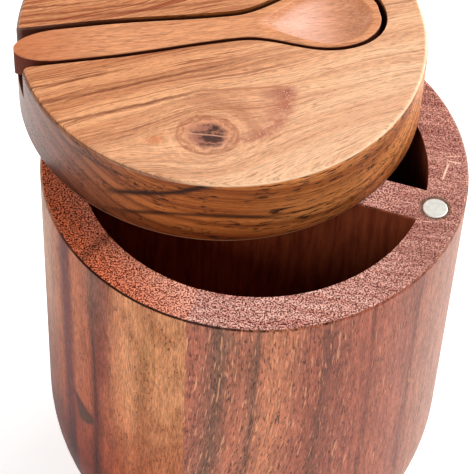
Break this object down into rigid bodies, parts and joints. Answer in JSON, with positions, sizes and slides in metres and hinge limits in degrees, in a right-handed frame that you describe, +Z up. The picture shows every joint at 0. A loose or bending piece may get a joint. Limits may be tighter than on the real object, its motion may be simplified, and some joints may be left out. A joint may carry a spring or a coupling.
{
  "type": "salt box",
  "caption": "Round turned wooden salt box with two pockets, and a thick lid that swings sideways on a pin, is held shut by magnets and carries a small spoon in a slot.",
  "frame": {"origin": "centre of the flat base of the box", "axes": "+Z up, the front of the box towards -Y, the magnet end of the divider near +X"},
  "size_m": [0.1095, 0.1229, 0.1398],
  "materials": {
    "left_board": "oiled, light tan board with dark streaks",
    "right_board": "oiled, darker reddish brown board with dark streaks",
    "lid_board": "oiled, light peach tan with fine dark grain and a knot",
    "spoon_wood": "oiled, smooth, light tan",
    "magnet_metal": "nickel plated, satin",
    "pin_steel": "plain turned steel",
    "sleeve_brass": "plain turned brass"
  },
  "bodies": {
    "box": {"left_block": "left_board", "right_block": "right_board", "rim_magnet": "magnet_metal", "pivot_pin": "pin_steel"},
    "lid": {"lid": "lid_board", "lid_magnet": "magnet_metal", "pivot_sleeve": "sleeve_brass"},
    "spoon": {"spoon": "spoon_wood"}
  },
  "joints": [
    {"name": "lid_swivel", "type": "hinge", "parent": "box", "child": "lid", "pos_m": [-0.04471, -0.00509, 0.1203], "axis": [0, 0, 1], "range_deg": [-32, 148]},
    {"name": "spoon_lift", "type": "slide", "parent": "lid", "child": "spoon", "axis": [0, 0, 1], "range_m": [0, 0.03]}
  ]
}
